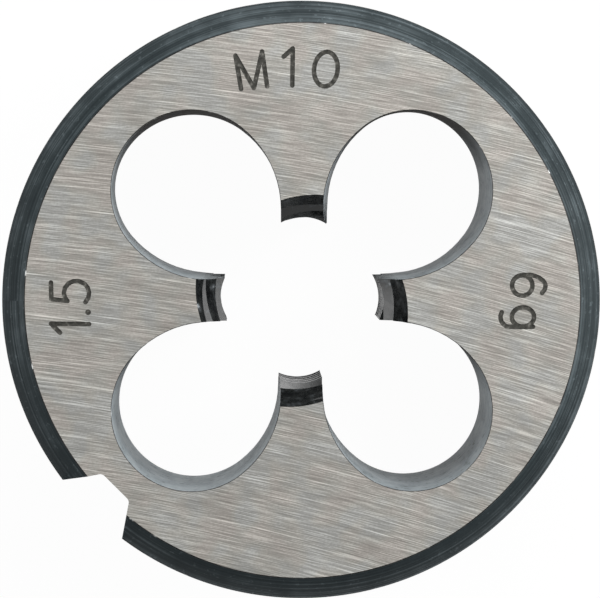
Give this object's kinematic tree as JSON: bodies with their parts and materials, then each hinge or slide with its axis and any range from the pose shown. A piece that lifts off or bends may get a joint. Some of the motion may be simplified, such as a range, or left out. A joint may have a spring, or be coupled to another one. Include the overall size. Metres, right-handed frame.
{
  "type": "round threading die",
  "caption": "Round solid threading die with four chip holes, relieved cutting lands, a slitting notch and screw pits in the rim.",
  "frame": {"origin": "centre of the bottom face, on the thread's axis", "axes": "+Z along the thread's axis towards the starting face, which lies on top; one land points along +X and the slitting notch is in the rim midway between -X and -Y"},
  "size_m": [0.03, 0.03, 0.011],
  "materials": {
    "tool_steel": "faces flat ground to a satin grain; rim, chamfers, chip holes and thread black oxide"
  },
  "bodies": {
    "root": {"threading_die": "tool_steel"}
  },
  "joints": []
}
